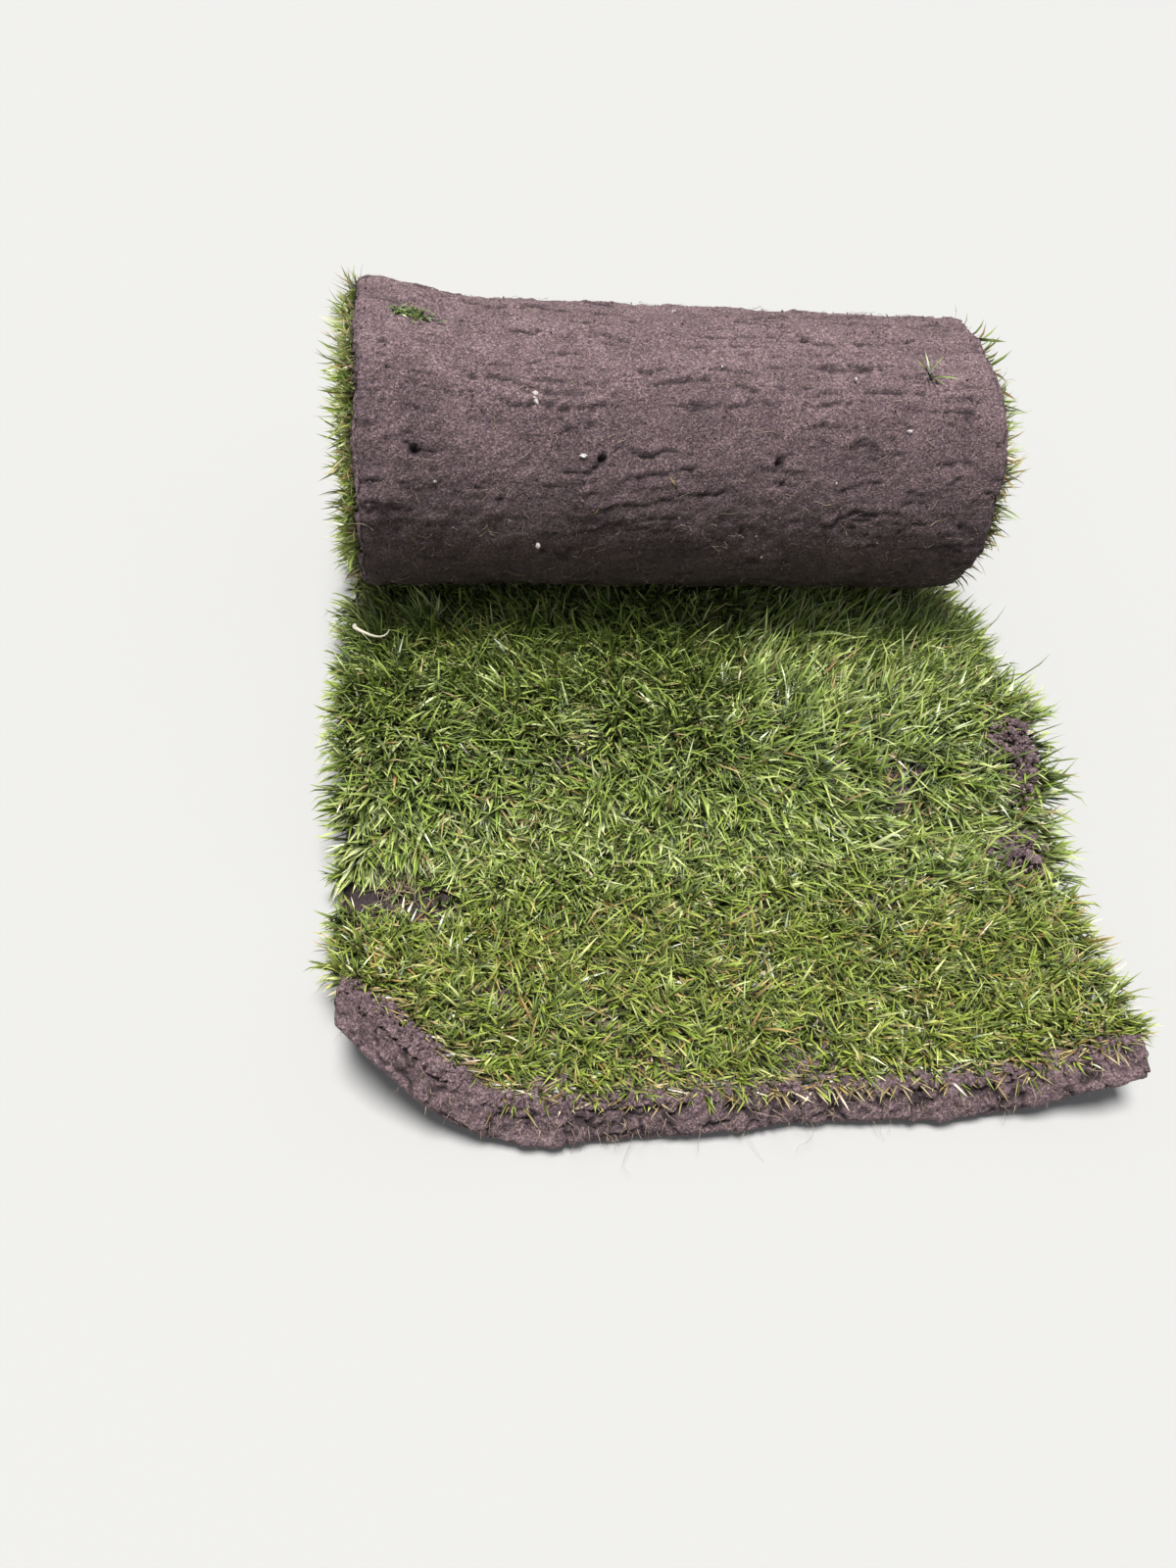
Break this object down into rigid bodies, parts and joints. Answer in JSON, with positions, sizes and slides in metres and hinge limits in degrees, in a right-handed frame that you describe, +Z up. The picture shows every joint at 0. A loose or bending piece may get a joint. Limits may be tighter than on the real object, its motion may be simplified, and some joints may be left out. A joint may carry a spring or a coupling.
{
  "type": "roll of turf",
  "caption": "Partly unrolled strip of lawn turf: an open tail of grass on a soil mat, wound into a roll with its soil outward and an open core.",
  "frame": {"origin": "centre of the object's box from side to side and front to back, on the floor that it lies on", "axes": "+X along the roll to the right as seen from the open end, +Y from the open end of the strip towards the roll, +Z up"},
  "size_m": [0.6218, 0.7858, 0.2919],
  "materials": {
    "soil": "matte",
    "grass": "matte"
  },
  "bodies": {
    "root": {"soil_mat": "soil", "grass_sward": "grass"}
  },
  "joints": []
}
